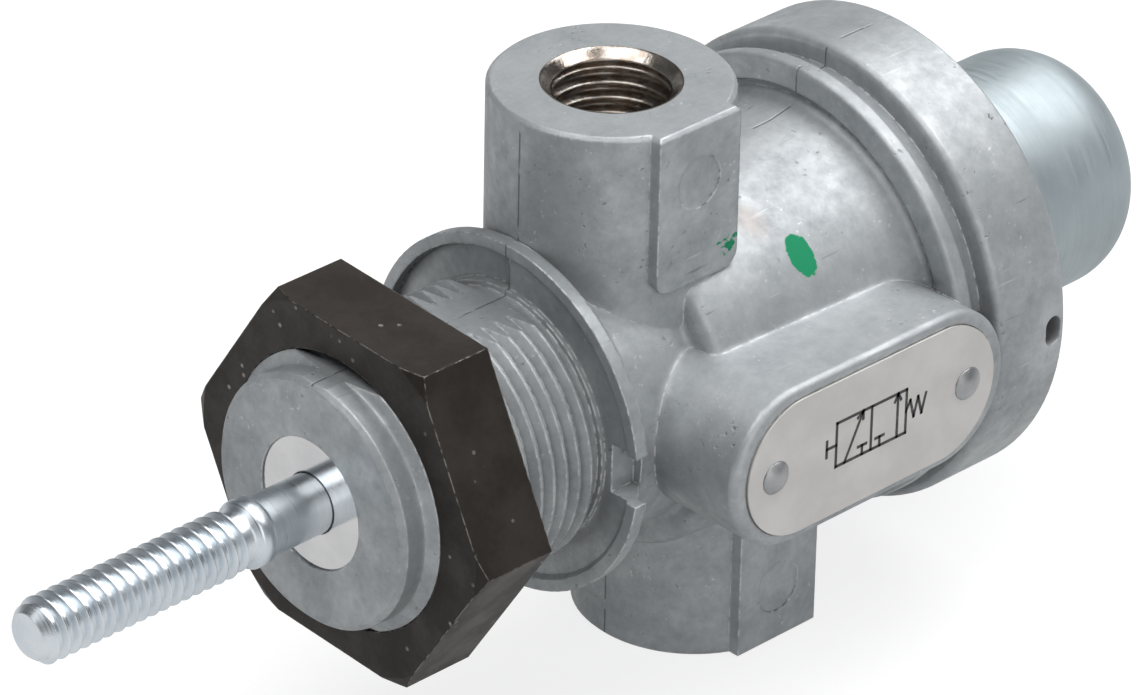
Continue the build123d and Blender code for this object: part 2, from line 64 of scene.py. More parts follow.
# Camera
# It looks from the rod's end and the nameplate's side, 30 degrees above the valve's axis.
# The long lens and the slight roll are those of the photograph.
camera_turn = math.radians(-44.601)
camera_rise = math.radians(29.9)
camera_roll = math.radians(1.199)
camera_distance = 0.64201
camera_target_x = 0.0024116
camera_shift_right = 0.003993
camera_shift_up = 0.004914
camera_back = Vector((
    math.sin(camera_turn) * math.cos(camera_rise),
    -math.cos(camera_turn) * math.cos(camera_rise),
    math.sin(camera_rise),
))
level_right = Vector((math.cos(camera_turn), math.sin(camera_turn), 0))
level_up = camera_back.cross(level_right)
camera_right = math.cos(camera_roll) * level_right + math.sin(camera_roll) * level_up
camera_up = math.cos(camera_roll) * level_up - math.sin(camera_roll) * level_right
camera_place = Vector((camera_target_x, 0, 0)) + camera_distance * camera_back
camera_place += camera_shift_right * camera_right + camera_shift_up * camera_up
camera_axes = Matrix((camera_right, camera_up, camera_back)).transposed().to_4x4()
camera = bpy.data.objects.new("camera", bpy.data.cameras.new("camera"))
camera.data.sensor_width = 36
camera.data.lens = 230.66
camera.data.clip_start = 0.05
camera.data.clip_end = 20
camera.matrix_world = Matrix.Translation(camera_place) @ camera_axes
bpy.context.scene.collection.objects.link(camera)
bpy.context.scene.camera = camera
bpy.context.scene.view_settings.view_transform = "Standard"

# Table and studio light
# The valve stands on its lower port on a white table, in a dim room. One large soft lamp lights it
# from above on the right, a weaker one from the front, and a third from overhead.
table_size = 4
table_gap = 0.00005
table_grey = (0.28, 0.28, 0.28, 1)
white = (1, 1, 1, 1)
room_tint = (0.93, 0.97, 1.0, 1)
mirrored_share = 0.55
lamp_target = Vector((0.01, 0, 0))


def add(tree, kind, values=None, **settings):
    """Adds one shader node. A value may be a number, a colour or another node's output."""
    node = tree.nodes.new(kind)
    for name, setting in settings.items():
        setattr(node, name, setting)
    for name, value in (values or {}).items():
        if isinstance(value, bpy.types.NodeSocket):
            tree.links.new(value, node.inputs[name])
        else:
            node.inputs[name].default_value = value
    return node


def calc(tree, operation, first, second=0.5, clamp=False):
    """The result of one Math node."""
    return add(tree, "ShaderNodeMath", {0: first, 1: second}, operation=operation, use_clamp=clamp).outputs[0]


def times(tree, first, second):
    """One value multiplied by another."""
    return calc(tree, "MULTIPLY", first, second)


def blend_of(tree, factor, first, second):
    """The result of mixing two colours. In a Mix node, sockets 6, 7 and 2 are the ones for colours."""
    return add(tree, "ShaderNodeMix", {0: factor, 6: first, 7: second}, data_type="RGBA").outputs[2]


def place_of(tree):
    """Where a point lies, in the frame that all the pieces share."""
    return add(tree, "ShaderNodeTexCoord").outputs["Object"]


def new_material(name):
    """A new material, with its node tree and the shader in it."""
    material = bpy.data.materials.new(name)
    material.use_nodes = True
    return material, material.node_tree, material.node_tree.nodes["Principled BSDF"]


def object_from(name, mesh):
    """Turns an edited mesh into an object in the scene."""
    made = bpy.data.objects.new(name, bpy.data.meshes.new(name))
    mesh.to_mesh(made.data)
    mesh.free()
    bpy.context.scene.collection.objects.link(made)
    return made


paper, tree, surface = new_material("white_table")
surface.inputs["Base Color"].default_value = table_grey
surface.inputs["Roughness"].default_value = 0.9
surface.inputs["Specular IOR Level"].default_value = 0.1
surface.inputs["Emission Color"].default_value = white
# Metal mirrors it a little dimmer than the camera sees it, as the valve keeps light off the table near it
ray = add(tree, "ShaderNodeLightPath").outputs
mirrored = calc(tree, "MAXIMUM", ray["Is Glossy Ray"], ray["Is Transmission Ray"])
seen = calc(tree, "MAXIMUM", ray["Is Camera Ray"], times(tree, mirrored, mirrored_share))
# Far from the lamps the table gets less of their light, so it makes up for that with its own
away = add(tree, "ShaderNodeVectorMath", {0: place_of(tree)}, operation="LENGTH").outputs["Value"]
glow_range = {"Value": away, "From Min": 0.3, "From Max": 2.0, "To Min": 0.80, "To Max": 0.99}
glow = add(tree, "ShaderNodeMapRange", glow_range).outputs["Result"]
tree.links.new(times(tree, seen, glow), surface.inputs["Emission Strength"])

table_mesh = bmesh.new()
bmesh.ops.create_grid(table_mesh, x_segments=1, y_segments=1, size=table_size)
bmesh.ops.translate(table_mesh, vec=(0, 0, cad_box[0].z - table_gap), verts=table_mesh.verts)
table = object_from("table", table_mesh)
table.data.materials.append(paper)

world = bpy.data.worlds.new("studio")
bpy.context.scene.world = world
world.use_nodes = True
tree = world.node_tree
background = tree.nodes["Background"]
seen = add(tree, "ShaderNodeLightPath").outputs["Is Camera Ray"]
towards = add(tree, "ShaderNodeTexCoord").outputs["Generated"]
height = add(tree, "ShaderNodeSeparateXYZ", {"Vector": towards}).outputs["Z"]
# The room is brighter down at the white backdrop and dim above it
room_range = {"Value": height, "From Min": 0.02, "From Max": 0.38, "To Min": 0.42, "To Max": 0.10}
level = add(tree, "ShaderNodeMapRange", room_range).outputs["Result"]
tree.links.new(blend_of(tree, seen, room_tint, white), background.inputs["Color"])
tree.links.new(calc(tree, "MAXIMUM", seen, level), background.inputs["Strength"])

# Each lamp's direction from the valve, its distance, width and height in metres, and its power in watts
for lamp_name, direction, distance, width, height, power in (
    ("right_lamp", (0.50, -0.10, 0.87), 0.95, 1.0, 0.6, 7.6),
    ("front_lamp", (-0.35, -0.90, 0.42), 1.0, 0.8, 0.8, 2.4),
    ("overhead_lamp", (-0.35, 0.0, 1.0), 1.1, 0.9, 0.9, 6.6),
):
    lamp = bpy.data.objects.new(lamp_name, bpy.data.lights.new(lamp_name, "AREA"))
    lamp.data.shape = "RECTANGLE"
    lamp.data.size = width
    lamp.data.size_y = height
    lamp.data.energy = power
    towards = Vector(direction).normalized()
    lamp.location = lamp_target + distance * towards
    lamp.rotation_mode = "QUATERNION"
    lamp.rotation_quaternion = (-towards).to_track_quat("-Z", "Y")
    bpy.context.scene.collection.objects.link(lamp)

# Body
# One zinc die casting, left as it comes from the die: matt and mottled grey, with its flow marks,
# brighter along the edges, where handling has rubbed them and a highlight is painted, and cut bright in the
# two ports.
# The inspector's green paint is dabbed on the barrel.
top_port_x = 0.01245
bottom_port_x = 0.0242
cut_r = 0.0063
cut_start_z = 0.0120
# How far the painted shade in the corners looks for a wall
corner_shade_reach = 0.006
fillet_r = 0.0013
fillet_reach = 0.0016
seam_half = 0.00010
seam_wander = 0.00012
trimmed_z = 0.0284
trimmed_x = -0.0228
stain_centre = (0.0215, -0.0086, 0.01485)
stain_reach = (0.0022, 0.0028, 0.0036)
dab_centre = (0.0242, -0.0123, 0.0119)
dab_reach = (0.00135, 0.0021, 0.0021)
smear_centre = (0.0162, -0.01108, 0.0156)
smear_reach = (0.0014, 0.002, 0.0011)
zinc_dark = (0.325, 0.346, 0.360, 1)
zinc_grey = (0.428, 0.451, 0.465, 1)
zinc_pale = (0.545, 0.568, 0.578, 1)
blotch_grey = (0.27, 0.295, 0.315, 1)
light_scratch = (0.74, 0.75, 0.75, 1)
dark_scratch = (0.16, 0.17, 0.18, 1)
pit_grey = (0.15, 0.15, 0.15, 1)
nick_grey = (0.80, 0.81, 0.81, 1)
painted_shade_grey = (0.085, 0.085, 0.088, 1)
rubbed_and_highlit_zinc = (0.88, 0.89, 0.90, 1)
cut_dark = (0.40, 0.34, 0.29, 1)
cut_pale = (0.56, 0.52, 0.48, 1)
seam_grey = (0.10, 0.11, 0.12, 1)
stain_tan = (0.52, 0.40, 0.34, 1)
paint_green = (0.001, 0.27, 0.115, 1)


def group(name, inputs, outputs):
    """Starts a shader node group and returns its tree, its input sockets and its output sockets."""
    tree = bpy.data.node_groups.new(name, "ShaderNodeTree")
    for socket, value in inputs:
        tree.interface.new_socket(socket, in_out="INPUT", socket_type="NodeSocketFloat").default_value = value
    for socket, kind in outputs:
        tree.interface.new_socket(socket, in_out="OUTPUT", socket_type=kind)
    return tree, tree.nodes.new("NodeGroupInput").outputs, tree.nodes.new("NodeGroupOutput").inputs


def use(tree, shared, **values):
    """Places a shared effect in a material."""
    node = tree.nodes.new("ShaderNodeGroup")
    node.node_tree = shared
    for name, value in values.items():
        node.inputs[name].default_value = value
    return node.outputs


def step_of(tree, value, low, high, to_low=0.0, to_high=1.0):
    """A value taken smoothly from one range to another."""
    ranges = {"Value": value, "From Min": low, "From Max": high, "To Min": to_low, "To Max": to_high}
    return add(tree, "ShaderNodeMapRange", ranges, interpolation_type="SMOOTHSTEP").outputs["Result"]


def noise_of(tree, place, scale, detail, roughness=0.5):
    """Cloudy noise. Its scale is in clouds to the metre."""
    values = {"Vector": place, "Scale": scale, "Detail": detail, "Roughness": roughness}
    return add(tree, "ShaderNodeTexNoise", values).outputs["Fac"]


def bump_of(tree, surface, height, strength, distance, normal=None):
    """Gives a material small bumps, of a height in metres, on top of another normal."""
    values = {"Height": height, "Strength": strength, "Distance": distance}
    if normal is not None:
        values["Normal"] = normal
    bump = add(tree, "ShaderNodeBump", values)
    tree.links.new(bump.outputs["Normal"], surface.inputs["Normal"])


def round_spot(tree, place, centre, reach):
    """Distance from a point on the part, as a share of a reach in metres along each axis."""
    aside = add(tree, "ShaderNodeVectorMath", {0: place, 1: centre}, operation="SUBTRACT").outputs["Vector"]
    shared = add(tree, "ShaderNodeVectorMath", {0: aside, 1: reach}, operation="DIVIDE").outputs["Vector"]
    return add(tree, "ShaderNodeVectorMath", {0: shared}, operation="LENGTH").outputs["Value"]


def openness_of(tree, reach, samples):
    """How open a point lies to its surroundings, from 0 in a corner to 1, looking as far as a reach."""
    near = {"Distance": reach}
    return add(tree, "ShaderNodeAmbientOcclusion", near, samples=samples, only_local=True).outputs["AO"]


def dress(parts, material):
    """Gives CAD pieces their material."""
    for part in parts:
        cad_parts[part].data.materials.clear()
        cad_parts[part].data.materials.append(material)


def edge_wear_group():
    """Rounded edges for the light to catch, and a broken mask along them where the finish is rubbed off."""
    tree, given, result = group(
        "edge_wear",
        (("Radius", 0.0003), ("Breakup", 900.0), ("Amount", 1.0)),
        (("Mask", "NodeSocketFloat"), ("Normal", "NodeSocketVector")),
    )
    rounded = add(tree, "ShaderNodeBevel", {"Radius": given["Radius"]}, samples=6).outputs["Normal"]
    flat = add(tree, "ShaderNodeNewGeometry").outputs["Normal"]
    agree = add(tree, "ShaderNodeVectorMath", {0: rounded, 1: flat}, operation="DOT_PRODUCT").outputs["Value"]
    bend = calc(tree, "SUBTRACT", 1.0, agree)
    broken = noise_of(tree, place_of(tree), given["Breakup"], 3.0)
    mask = times(tree, step_of(tree, bend, 0.03, 0.20), step_of(tree, broken, 0.42, 0.56))
    tree.links.new(calc(tree, "MULTIPLY", mask, given["Amount"], clamp=True), result["Mask"])
    tree.links.new(rounded, result["Normal"])
    return tree


def cast_skin_group():
    """The skin of a pressure casting: clouds where it chilled, blotches, scratches, pits and a peel."""
    masks = ("Clouds", "Blotches", "Light Scratches", "Dark Scratches", "Pits", "Nicks", "Height")
    tree, given, result = group(
        "cast_skin", (("Size", 1.0),), [(mask, "NodeSocketFloat") for mask in masks],
    )
    to_size = {0: place_of(tree), "Scale": given["Size"]}
    sized = add(tree, "ShaderNodeVectorMath", to_size, operation="SCALE").outputs["Vector"]

    def scratches(turn, stretch, low, high):
        """Short straight lines, in patches."""
        laid = {"Vector": sized, "Rotation": turn, "Scale": stretch}
        drawn = add(tree, "ShaderNodeMapping", laid).outputs["Vector"]
        lines = step_of(tree, noise_of(tree, drawn, 1.0, 1.0, 0.55), low, high)
        return times(tree, lines, step_of(tree, noise_of(tree, sized, 140.0, 2.0, 0.55), 0.50, 0.62))

    def flecks(offset, scale, low, high):
        """Small ragged specks, in patches."""
        moved_by = {"Vector": sized, "Location": (offset, offset, offset)}
        moved = add(tree, "ShaderNodeMapping", moved_by).outputs["Vector"]
        wandering = {"Vector": moved, "Scale": 1800.0, "Detail": 1.0}
        wander = add(tree, "ShaderNodeTexNoise", wandering).outputs["Color"]
        bending = {0: wander, 1: (0.0007, 0.0007, 0.0007), 2: moved}
        bent = add(tree, "ShaderNodeVectorMath", bending, operation="MULTIPLY_ADD").outputs["Vector"]
        cells = {"Vector": bent, "Scale": scale, "Randomness": 1.0}
        cell = add(tree, "ShaderNodeTexVoronoi", cells).outputs["Distance"]
        patches = step_of(tree, noise_of(tree, moved, 260.0, 2.0, 0.55), low, high)
        return times(tree, step_of(tree, cell, 0.24, 0.12), patches)

    large = noise_of(tree, sized, 105.0, 5.0, 0.55)
    middling = noise_of(tree, sized, 340.0, 6.0, 0.72)
    close = noise_of(tree, sized, 1100.0, 3.0, 0.6)
    peel = noise_of(tree, sized, 2600.0, 3.0, 0.6)
    blotches = noise_of(tree, sized, 75.0, 6.0, 0.68)
    clouds = calc(tree, "ADD", times(tree, large, 0.42), times(tree, middling, 0.40))
    clouds = calc(tree, "ADD", clouds, times(tree, close, 0.18))
    pits = flecks(0.0, 1250.0, 0.57, 0.70)
    nicks = flecks(0.37, 1300.0, 0.56, 0.68)
    height = calc(tree, "ADD", times(tree, peel, 0.30), times(tree, close, 0.45))
    height = calc(tree, "ADD", height, times(tree, middling, 0.5))
    height = calc(tree, "SUBTRACT", height, times(tree, pits, 1.5))
    light_lines = scratches((0.3, 0.5, 0.2), (130.0, 2600.0, 2100.0), 0.68, 0.76)
    dark_lines = scratches((0.9, 0.2, 1.3), (150.0, 2100.0, 2400.0), 0.69, 0.77)
    blotches = step_of(tree, blotches, 0.55, 0.68)
    for mask, made in zip(masks, (clouds, blotches, light_lines, dark_lines, pits, nicks, height)):
        tree.links.new(made, result[mask])
    return tree


edge_wear = edge_wear_group()
cast_skin = cast_skin_group()

casting, tree, surface = new_material("die_cast_zinc")
place = place_of(tree)
axes = add(tree, "ShaderNodeSeparateXYZ", {"Vector": place}).outputs
skin = use(tree, cast_skin, Size=1.0)
wear = use(tree, edge_wear, Radius=0.0003, Breakup=1300.0, Amount=1.0)
shade = add(tree, "ShaderNodeValToRGB", {"Fac": skin["Clouds"]})
shade.color_ramp.elements[0].position = 0.36
shade.color_ramp.elements[0].color = zinc_dark
shade.color_ramp.elements[1].position = 0.64
shade.color_ramp.elements[1].color = zinc_pale
shade.color_ramp.elements.new(0.5).color = zinc_grey
colour = shade.outputs["Color"]
for mark, strength, marked in (
    ("Blotches", 0.30, blotch_grey),
    ("Light Scratches", 0.45, light_scratch),
    ("Dark Scratches", 0.55, dark_scratch),
    ("Pits", 0.50, pit_grey),
    ("Nicks", 0.50, nick_grey),
):
    colour = blend_of(tree, times(tree, skin[mark], strength), colour, marked)
# Painted shade: the colour darkens where two walls meet, where shade falls in the corners
corner_shade = step_of(tree, openness_of(tree, corner_shade_reach, 6), 0.62, 0.12)
colour = blend_of(tree, times(tree, corner_shade, 0.65), colour, painted_shade_grey)
# Rubbed edges, with a painted highlight along them: brighter than the wear alone would make them
colour = blend_of(tree, times(tree, wear["Mask"], 0.9), colour, rubbed_and_highlit_zinc)
# The two ports are drilled and tapped, so the cut metal shows
cuts = []
for port_x, up in ((top_port_x, 1), (bottom_port_x, -1)):
    aside = {"X": calc(tree, "SUBTRACT", axes["X"], port_x), "Y": axes["Y"]}
    across = add(tree, "ShaderNodeCombineXYZ", aside).outputs["Vector"]
    off_axis = add(tree, "ShaderNodeVectorMath", {0: across}, operation="LENGTH").outputs["Value"]
    inside = step_of(tree, off_axis, cut_r + 0.0001, cut_r)
    above = step_of(tree, times(tree, axes["Z"], up), cut_start_z, cut_start_z + 0.0001)
    cuts.append(times(tree, inside, above))
port_cut = calc(tree, "MAXIMUM", *cuts)
cut_shade = step_of(tree, noise_of(tree, place, 700.0, 3.0), 0.4, 0.6)
colour = blend_of(tree, port_cut, colour, blend_of(tree, cut_shade, cut_dark, cut_pale))
# Where the die's halves met, a thin dark line runs along the middle of the casting. It doesn't reach the
# bosses' ends and the neck's front face, which were trimmed
unbroken = noise_of(tree, place, 420.0, 3.0)
from_middle = calc(tree, "ADD", calc(tree, "ABSOLUTE", axes["Y"]), times(tree, unbroken, seam_wander))
seam = step_of(tree, from_middle, seam_half + seam_wander, seam_half)
seam = times(tree, seam, step_of(tree, unbroken, 0.40, 0.50))
below_ends = calc(tree, "LESS_THAN", calc(tree, "ABSOLUTE", axes["Z"]), trimmed_z)
behind_front = calc(tree, "GREATER_THAN", axes["X"], trimmed_x)
for kept in (below_ends, behind_front, calc(tree, "SUBTRACT", 1.0, port_cut)):
    seam = times(tree, seam, kept)
colour = blend_of(tree, times(tree, seam, 0.7), colour, seam_grey)
# A faint tan stain beside the upper pad
stain = round_spot(tree, place, stain_centre, stain_reach)
colour = blend_of(tree, step_of(tree, stain, 1.0, 0.2, 0.0, 0.28), colour, stain_tan)
# Green paint: one dab on the barrel and a smear on the upper pad
ragged = noise_of(tree, place, 1700.0, 5.0, 0.65)
dab = round_spot(tree, place, dab_centre, dab_reach)
dab = step_of(tree, calc(tree, "ADD", dab, times(tree, ragged, 0.5)), 1.30, 1.20)
smear = round_spot(tree, place, smear_centre, smear_reach)
smear = step_of(tree, calc(tree, "ADD", smear, times(tree, ragged, 4.6)), 2.92, 2.75)
paint = calc(tree, "MAXIMUM", dab, smear)
colour = blend_of(tree, paint, colour, paint_green)
tree.links.new(colour, surface.inputs["Base Color"])
rough = step_of(tree, skin["Clouds"], 0.35, 0.65, 0.56, 0.40)
# The corners with painted shade are also made a little rougher and less metallic
rough = calc(tree, "ADD", rough, times(tree, corner_shade, 0.2))
rough = calc(tree, "SUBTRACT", rough, times(tree, port_cut, 0.28))
rough = calc(tree, "SUBTRACT", rough, times(tree, wear["Mask"], 0.18), clamp=True)
rough = calc(tree, "MAXIMUM", rough, times(tree, paint, 0.8))
tree.links.new(rough, surface.inputs["Roughness"])
metal = calc(tree, "SUBTRACT", 0.52, times(tree, corner_shade, 0.35))
metal = calc(tree, "MAXIMUM", metal, port_cut)
metal = calc(tree, "MULTIPLY", metal, calc(tree, "SUBTRACT", 1.0, paint), clamp=True)
tree.links.new(metal, surface.inputs["Metallic"])
# The die leaves a fillet of about a millimetre wherever two walls meet. Sockets 4, 5 and 1 are a Mix
# node's ones for vectors
fillet = add(tree, "ShaderNodeBevel", {"Radius": fillet_r}, samples=6).outputs["Normal"]
inward = step_of(tree, openness_of(tree, fillet_reach, 5), 0.93, 0.70)
inward = times(tree, inward, calc(tree, "SUBTRACT", 1.0, port_cut))
corners = add(tree, "ShaderNodeMix", {0: inward, 4: wear["Normal"], 5: fillet}, data_type="VECTOR").outputs[1]
corners = add(tree, "ShaderNodeVectorMath", {0: corners}, operation="NORMALIZE").outputs["Vector"]
height = calc(tree, "SUBTRACT", skin["Height"], times(tree, seam, 1.2))
bump_of(tree, surface, height, 0.55, 0.0001, corners)
dress(("body",), casting)

# Lock nut
# A flat hexagon nut of turned steel with a brown-black oil finish, screwed up the neck behind a panel.
# The finish is thin: it has worn to bright metal on the corners and is freckled all over.
oil_dark = (0.020, 0.0155, 0.0130, 1)
oil_brown = (0.044, 0.036, 0.030, 1)
bare_steel = (0.42, 0.38, 0.34, 1)
nut_finish, tree, surface = new_material("oiled_black_steel")
place = place_of(tree)
wear = use(tree, edge_wear, Radius=0.00022, Breakup=1500.0, Amount=1.0)
cloud = noise_of(tree, place, 170.0, 6.0, 0.65)
cells = {"Vector": place, "Scale": 620.0, "Randomness": 1.0}
freckle = add(tree, "ShaderNodeTexVoronoi", cells).outputs["Distance"]
spread = step_of(tree, noise_of(tree, place, 260.0, 2.0), 0.50, 0.62)
freckle = times(tree, step_of(tree, freckle, 0.17, 0.08), spread)
bare = calc(tree, "MAXIMUM", times(tree, freckle, 0.7), wear["Mask"])
colour = blend_of(tree, step_of(tree, cloud, 0.35, 0.68), oil_dark, oil_brown)
tree.links.new(blend_of(tree, bare, colour, bare_steel), surface.inputs["Base Color"])
tree.links.new(step_of(tree, bare, 0.0, 1.0, 0.3, 0.9), surface.inputs["Metallic"])
tree.links.new(step_of(tree, cloud, 0.3, 0.7, 0.52, 0.38), surface.inputs["Roughness"])
surface.inputs["Specular IOR Level"].default_value = 0.4
bump_of(tree, surface, noise_of(tree, place, 2200.0, 3.0), 0.25, 0.00008, wear["Normal"])
dress(("lock_nut",), nut_finish)

# Push rod
# A steel rod with a rolled thread at its free end for a knob, a bead where the thread runs out,
# and a smooth shank that slides in the neck. It is zinc plated and has a bluish shine.
plate_pale = (0.80, 0.85, 0.89, 1)
plate_dark = (0.70, 0.76, 0.81, 1)
thread_pitch = 0.00125
crest_r = 0.00298
crest_round = 0.00003
root_r = 0.00240
thread_start = -0.05475
thread_end = -0.0326
thread_steps = 40
tip_r = 0.00205
tip_slope = 0.9
weld = 0.000002


def turned_metal(name, pale, dark, roughness, line_scale, line_depth, metallic=1.0, wear_radius=0.0002):
    """Metal that was turned, drawn or rolled about the valve's axis, with fine lines around it."""
    material, tree, surface = new_material(name)
    place = place_of(tree)
    axes = add(tree, "ShaderNodeSeparateXYZ", {"Vector": place}).outputs
    around = add(tree, "ShaderNodeCombineXYZ", {"X": axes["Y"], "Y": axes["Z"]}).outputs["Vector"]
    off_axis = add(tree, "ShaderNodeVectorMath", {0: around}, operation="LENGTH").outputs["Value"]
    along = times(tree, calc(tree, "ADD", axes["X"], off_axis), line_scale)
    stretched = {"X": along, "Y": times(tree, axes["Y"], 60.0), "Z": times(tree, axes["Z"], 60.0)}
    line_place = add(tree, "ShaderNodeCombineXYZ", stretched).outputs["Vector"]
    lines = noise_of(tree, line_place, 1.0, 3.0, 0.6)
    cloud = noise_of(tree, place, 210.0, 5.0, 0.6)
    wear = use(tree, edge_wear, Radius=wear_radius, Breakup=1400.0, Amount=0.8)
    colour = blend_of(tree, step_of(tree, cloud, 0.32, 0.70), dark, pale)
    # Rubbed edges, brightened as wear and as a painted highlight along them
    colour = blend_of(tree, times(tree, wear["Mask"], 0.6), colour, rubbed_and_highlit_zinc)
    tree.links.new(colour, surface.inputs["Base Color"])
    surface.inputs["Metallic"].default_value = metallic
    rough = step_of(tree, lines, 0.3, 0.7, roughness * 0.8, roughness * 1.25)
    tree.links.new(rough, surface.inputs["Roughness"])
    bump_of(tree, surface, lines, 0.3, line_depth, wear["Normal"])
    return material


rod_mesh = bmesh.new()
# One ridge of the thread, as shares of the pitch and radii. Its row is then spun to a helix
tooth = (
    (0.0, root_r), (0.14, root_r), (0.42, crest_r - crest_round), (0.50, crest_r),
    (0.58, crest_r - crest_round), (0.86, root_r),
)
turns = int((thread_end - thread_start) / thread_pitch) + 3
profile = []
for turn in range(-1, turns):
    for share, radius in tooth:
        profile.append(rod_mesh.verts.new((thread_start + (turn + share) * thread_pitch, 0, radius)))
ridge = [rod_mesh.edges.new(pair) for pair in zip(profile, profile[1:])]
bmesh.ops.spin(
    rod_mesh, geom=profile + ridge, cent=(0, 0, 0), axis=(1, 0, 0), angle=2 * math.pi, steps=thread_steps,
    dvec=(thread_pitch / thread_steps, 0, 0), use_merge=False,
)
bmesh.ops.remove_doubles(rod_mesh, verts=rod_mesh.verts, dist=weld)
for cut_x, inward in ((thread_start, 1), (thread_end, -1)):
    cut = bmesh.ops.bisect_plane(
        rod_mesh, geom=rod_mesh.verts[:] + rod_mesh.edges[:] + rod_mesh.faces[:], dist=weld / 4,
        plane_co=(cut_x, 0, 0), plane_no=(-inward, 0, 0), clear_outer=True,
    )
    rim = [piece for piece in cut["geom_cut"] if isinstance(piece, bmesh.types.BMEdge)]
    bmesh.ops.edgeloop_fill(rod_mesh, edges=rim)
# The thread's tip is turned down to a cone, so the first ridges fade in
for vert in rod_mesh.verts:
    allowed = tip_r + max(vert.co.x - thread_start, 0) * tip_slope
    radius = math.hypot(vert.co.y, vert.co.z)
    if radius > allowed:
        vert.co.y *= allowed / radius
        vert.co.z *= allowed / radius
# The undercut, bead, shank and stud, as places along the axis and radii
shank = (
    (-0.0327, 0.0), (-0.0327, 0.00250), (-0.03140, 0.00250), (-0.03125, 0.00256), (-0.03095, 0.00305),
    (-0.03075, 0.00315), (-0.02965, 0.00315), (-0.02945, 0.00305), (-0.02925, 0.00283), (-0.0290, 0.00280),
    (-0.00890, 0.00280), (-0.00890, 0.0022), (0.0001, 0.0022), (0.0001, 0.0),
)
shank_verts = [rod_mesh.verts.new((x, 0, radius)) for x, radius in shank]
shank_edges = [rod_mesh.edges.new(pair) for pair in zip(shank_verts, shank_verts[1:])]
bmesh.ops.spin(
    rod_mesh, geom=shank_verts + shank_edges, cent=(0, 0, 0), axis=(1, 0, 0), angle=2 * math.pi, steps=64,
    use_merge=True,
)
bmesh.ops.remove_doubles(rod_mesh, verts=rod_mesh.verts, dist=weld)
bmesh.ops.recalc_face_normals(rod_mesh, faces=rod_mesh.faces)
rod = object_from("plated_rod", rod_mesh)
rod.data.shade_smooth()
rod.data.set_sharp_from_angle(angle=math.radians(38))
rod.data.materials.append(
    turned_metal("bright_zinc_plate", plate_pale, plate_dark, 0.32, 5200.0, 0.00002, wear_radius=0.00006)
)
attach(rod, "plunger")
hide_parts("push_rod")

# Guide washer, spool and cross pin
# The washer is polished steel, pressed into the neck's mouth, where it holds the wiper in and guides the
# rod. The spool and the pin that holds it on the rod are ground from the same steel.
steel_pale = (0.74, 0.74, 0.74, 1)
steel_dark = (0.66, 0.66, 0.67, 1)
steel_finish = turned_metal("polished_steel", steel_pale, steel_dark, 0.12, 3800.0, 0.00001)
dress(("guide_washer", "spool", "cross_pin"), steel_finish)

# Spring cup, cover ring and spring seat
# The cup is deep drawn from thin steel and plated to a pale satin. The ring behind its flange, which lies
# under the snap ring, and the seat inside are pressed from the same plated stock.
satin_pale = (0.47, 0.53, 0.555, 1)
satin_dark = (0.42, 0.475, 0.50, 1)
cup_finish = turned_metal("satin_zinc_plate", satin_pale, satin_dark, 0.50, 6500.0, 0.000004, metallic=0.75)
dress(("spring_cup", "cover_ring", "spring_seat"), cup_finish)

# Snap ring, clips and spring
# Hardened spring steel with a dark oiled finish, sprung into grooves or wound to a coil.
# The coil here stands for the solid one. In the valve, the spring shortens as the seat pushes it into the
# cup.
spring_pale = (0.27, 0.27, 0.28, 1)
spring_dark = (0.16, 0.16, 0.17, 1)
wire_r = 0.0008
coil_r = 0.0076
coil_turns = 8
steps_a_turn = 36
spring_finish = turned_metal("oiled_spring_steel", spring_pale, spring_dark, 0.34, 2600.0, 0.00002)
dress(("snap_ring", "stack_clip", "seat_clip"), spring_finish)
coil_low, coil_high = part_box("return_spring")
coil_length = coil_high[0] - coil_low[0]
coil_pitch = (coil_length - 2 * wire_r) / coil_turns
coil_start = Matrix.Translation((coil_low[0] + wire_r, 0, coil_r)) @ Matrix.Rotation(math.pi / 2, 4, "X")
coil_mesh = bmesh.new()
ring = bmesh.ops.create_circle(coil_mesh, radius=wire_r, segments=14, matrix=coil_start)["verts"]
bmesh.ops.spin(
    coil_mesh, geom=ring + coil_mesh.edges[:], cent=(0, 0, 0), axis=(1, 0, 0), angle=2 * math.pi * coil_turns,
    steps=coil_turns * steps_a_turn, dvec=(coil_pitch / steps_a_turn, 0, 0), use_merge=False,
)
bmesh.ops.holes_fill(coil_mesh, edges=coil_mesh.edges, sides=0)
bmesh.ops.recalc_face_normals(coil_mesh, faces=coil_mesh.faces)
coil = object_from("coil_spring", coil_mesh)
coil.data.shade_smooth()
coil.data.set_sharp_from_angle(angle=math.radians(60))
coil.data.materials.append(spring_finish)
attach(coil, "valve_body")
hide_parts("return_spring")
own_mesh(coil)

# Cages, spacers and bushes
# Turned brass rings that stack in the bore, and a sintered bronze bush in the neck. They are seen only
# through the ports.
brass_pale = (0.78, 0.62, 0.34, 1)
brass_dark = (0.60, 0.45, 0.22, 1)
brass_finish = turned_metal("turned_brass", brass_pale, brass_dark, 0.24, 3000.0, 0.00002)
dress(
    ("top_port_cage", "bottom_port_cage", "front_spacer", "middle_spacer", "end_bush", "guide_bush"),
    brass_finish,
)

# Seals
# Black nitrile rubber, moulded: the rod's wiper, the three seal rings, the gasket and the vent flap.
# They are dull, with a slight grey bloom.
rubber_black = (0.012, 0.012, 0.012, 1)
rubber_bloom = (0.035, 0.035, 0.034, 1)
rubber, tree, surface = new_material("nitrile_rubber")
bloom = noise_of(tree, place_of(tree), 400.0, 4.0)
tree.links.new(blend_of(tree, bloom, rubber_black, rubber_bloom), surface.inputs["Base Color"])
tree.links.new(step_of(tree, bloom, 0.3, 0.7, 0.45, 0.65), surface.inputs["Roughness"])
bump_of(tree, surface, bloom, 0.2, 0.00005)
dress(
    ("rod_wiper", "front_seal_ring", "middle_seal_ring", "rear_seal_ring", "cup_gasket", "vent_flap"),
    rubber,
)

